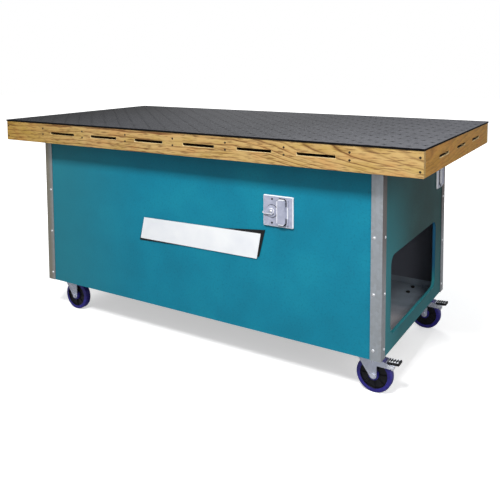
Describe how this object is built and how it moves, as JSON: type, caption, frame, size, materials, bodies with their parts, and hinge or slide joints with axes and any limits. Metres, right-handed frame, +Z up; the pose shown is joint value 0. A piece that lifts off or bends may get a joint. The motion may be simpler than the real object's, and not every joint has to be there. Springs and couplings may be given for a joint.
{
  "type": "downdraft table",
  "caption": "Downdraft sanding bench: perforated mat on a slotted oak frame, over a sheet-steel cabinet with filters and blower, on swivel casters with toe brakes.",
  "frame": {"origin": "centre of the object's bounding box on the floor, under the middle of the top", "axes": "+X along the length towards the end with the air outlet, -Y towards the front with the switch, +Z up"},
  "size_m": [1.829, 0.914, 0.849],
  "materials": {
    "top_mat": "matt black-grey sheet rubber, dusty",
    "side_rail_oak": "clear-finished light oak with a strong wavy grain",
    "end_rail_oak": "clear-finished oak, a darker golden brown",
    "joist_oak": "planed oak",
    "teal_paint": "semi-gloss teal enamel on sheet steel",
    "galvanised_steel": "mottled galvanised sheet steel",
    "dark_grey_paint": "dark grey primer",
    "filter_media": "pleated filter paper",
    "motor_enamel": "grey enamel on cast housing",
    "cast_aluminium": "light grey cast metal",
    "ivory_plastic": "ivory moulded plastic",
    "black_plastic": "black moulded plastic",
    "lead_rubber": "black cable jacket",
    "sign_white": "plain white sheet on a dark backing",
    "zinc_plate": "bright zinc plate",
    "polyurethane_tread": "blue-violet polyurethane"
  },
  "bodies": {
    "cabinet": {"top_mat": "top_mat", "front_rail": "side_rail_oak", "rear_rail": "side_rail_oak", "left_rail": "end_rail_oak", "right_rail": "end_rail_oak", "joist_1": "joist_oak", "joist_2": "joist_oak", "joist_3": "joist_oak", "joist_4": "joist_oak", "joist_5": "joist_oak", "joist_6": "joist_oak", "joist_7": "joist_oak", "front_panel": "teal_paint", "rear_panel": "teal_paint", "left_end_panel": "teal_paint", "right_end_panel": "teal_paint", "front_left_post": "galvanised_steel", "front_right_post": "galvanised_steel", "rear_right_post": "galvanised_steel", "rear_left_post": "galvanised_steel", "soffit_pan": "galvanised_steel", "filter_frame": "galvanised_steel", "blower_housing": "galvanised_steel", "front_box": "galvanised_steel", "supply_conduit": "galvanised_steel", "floor_pan": "dark_grey_paint", "plenum_deck": "dark_grey_paint", "filter_1": "filter_media", "filter_2": "filter_media", "filter_3": "filter_media", "blower_motor": "motor_enamel", "front_cover_plate": "cast_aluminium", "end_cover_plate": "cast_aluminium", "duplex_receptacle": "ivory_plastic", "toggle_switch": "black_plastic", "power_inlet": "black_plastic", "motor_lead": "lead_rubber", "sign_plate": "sign_white", "front_left_caster_plate": "zinc_plate", "front_right_caster_plate": "zinc_plate", "rear_right_caster_plate": "zinc_plate", "rear_left_caster_plate": "zinc_plate"},
    "front_left_caster": {"front_left_fork": "zinc_plate", "front_left_axle": "zinc_plate"},
    "front_left_roller": {"front_left_wheel": "polyurethane_tread"},
    "front_right_caster": {"front_right_fork": "zinc_plate", "front_right_axle": "zinc_plate"},
    "front_right_roller": {"front_right_wheel": "polyurethane_tread"},
    "rear_right_caster": {"rear_right_fork": "zinc_plate", "rear_right_axle": "zinc_plate"},
    "rear_right_roller": {"rear_right_wheel": "polyurethane_tread"},
    "rear_left_caster": {"rear_left_fork": "zinc_plate", "rear_left_axle": "zinc_plate"},
    "rear_left_roller": {"rear_left_wheel": "polyurethane_tread"},
    "front_right_brake": {"front_right_pedal": "zinc_plate"},
    "rear_right_brake": {"rear_right_pedal": "zinc_plate"},
    "blower_rotor": {"blower_wheel": "galvanised_steel"},
    "switch_handle": {"switch_lever": "cast_aluminium"},
    "receptacle_lid": {"outlet_lid": "cast_aluminium"},
    "inlet_lid": {"end_lid": "cast_aluminium"}
  },
  "joints": [
    {"name": "front_left_swivel", "type": "hinge", "parent": "cabinet", "child": "front_left_caster", "pos_m": [-0.693, -0.2954, 0.1339], "axis": [0, 0, 1], "continuous": true},
    {"name": "front_left_roll", "type": "hinge", "parent": "front_left_caster", "child": "front_left_roller", "pos_m": [-0.6695, -0.2954, 0.0615], "axis": [0, 1, 0], "continuous": true},
    {"name": "front_right_swivel", "type": "hinge", "parent": "cabinet", "child": "front_right_caster", "pos_m": [0.693, -0.2954, 0.1339], "axis": [0, 0, 1], "continuous": true},
    {"name": "front_right_roll", "type": "hinge", "parent": "front_right_caster", "child": "front_right_roller", "pos_m": [0.7165, -0.2954, 0.0615], "axis": [0, 1, 0], "continuous": true},
    {"name": "rear_right_swivel", "type": "hinge", "parent": "cabinet", "child": "rear_right_caster", "pos_m": [0.693, 0.2954, 0.1339], "axis": [0, 0, 1], "continuous": true},
    {"name": "rear_right_roll", "type": "hinge", "parent": "rear_right_caster", "child": "rear_right_roller", "pos_m": [0.7165, 0.2954, 0.0615], "axis": [0, 1, 0], "continuous": true},
    {"name": "rear_left_swivel", "type": "hinge", "parent": "cabinet", "child": "rear_left_caster", "pos_m": [-0.693, 0.2954, 0.1339], "axis": [0, 0, 1], "continuous": true},
    {"name": "rear_left_roll", "type": "hinge", "parent": "rear_left_caster", "child": "rear_left_roller", "pos_m": [-0.6695, 0.2954, 0.0615], "axis": [0, 1, 0], "continuous": true},
    {"name": "front_right_brake", "type": "hinge", "parent": "front_right_caster", "child": "front_right_brake", "pos_m": [0.771, -0.2954, 0.1036], "axis": [0, 1, 0], "range_deg": [0, 8]},
    {"name": "rear_right_brake", "type": "hinge", "parent": "rear_right_caster", "child": "rear_right_brake", "pos_m": [0.771, 0.2954, 0.1036], "axis": [0, 1, 0], "range_deg": [0, 8]},
    {"name": "blower_spin", "type": "hinge", "parent": "cabinet", "child": "blower_rotor", "pos_m": [-0.3, 0, 0.36058], "axis": [0, 0, 1], "continuous": true},
    {"name": "switch_turn", "type": "hinge", "parent": "cabinet", "child": "switch_handle", "pos_m": [0.3712, -0.3848, 0.5866], "axis": [0, 1, 0], "range_deg": [0, 60]},
    {"name": "outlet_lid_hinge", "type": "hinge", "parent": "cabinet", "child": "receptacle_lid", "pos_m": [0.4327, -0.3841, 0.5866], "axis": [0, 0, 1], "range_deg": [0, 110], "stiffness_Nm_per_rad": 0.004, "springref_deg": -17.19},
    {"name": "end_lid_hinge", "type": "hinge", "parent": "cabinet", "child": "inlet_lid", "pos_m": [0.7726, 0.3071, 0.6485], "axis": [0, 0, 1], "range_deg": [0, 110], "stiffness_Nm_per_rad": 0.004, "springref_deg": -17.19}
  ]
}
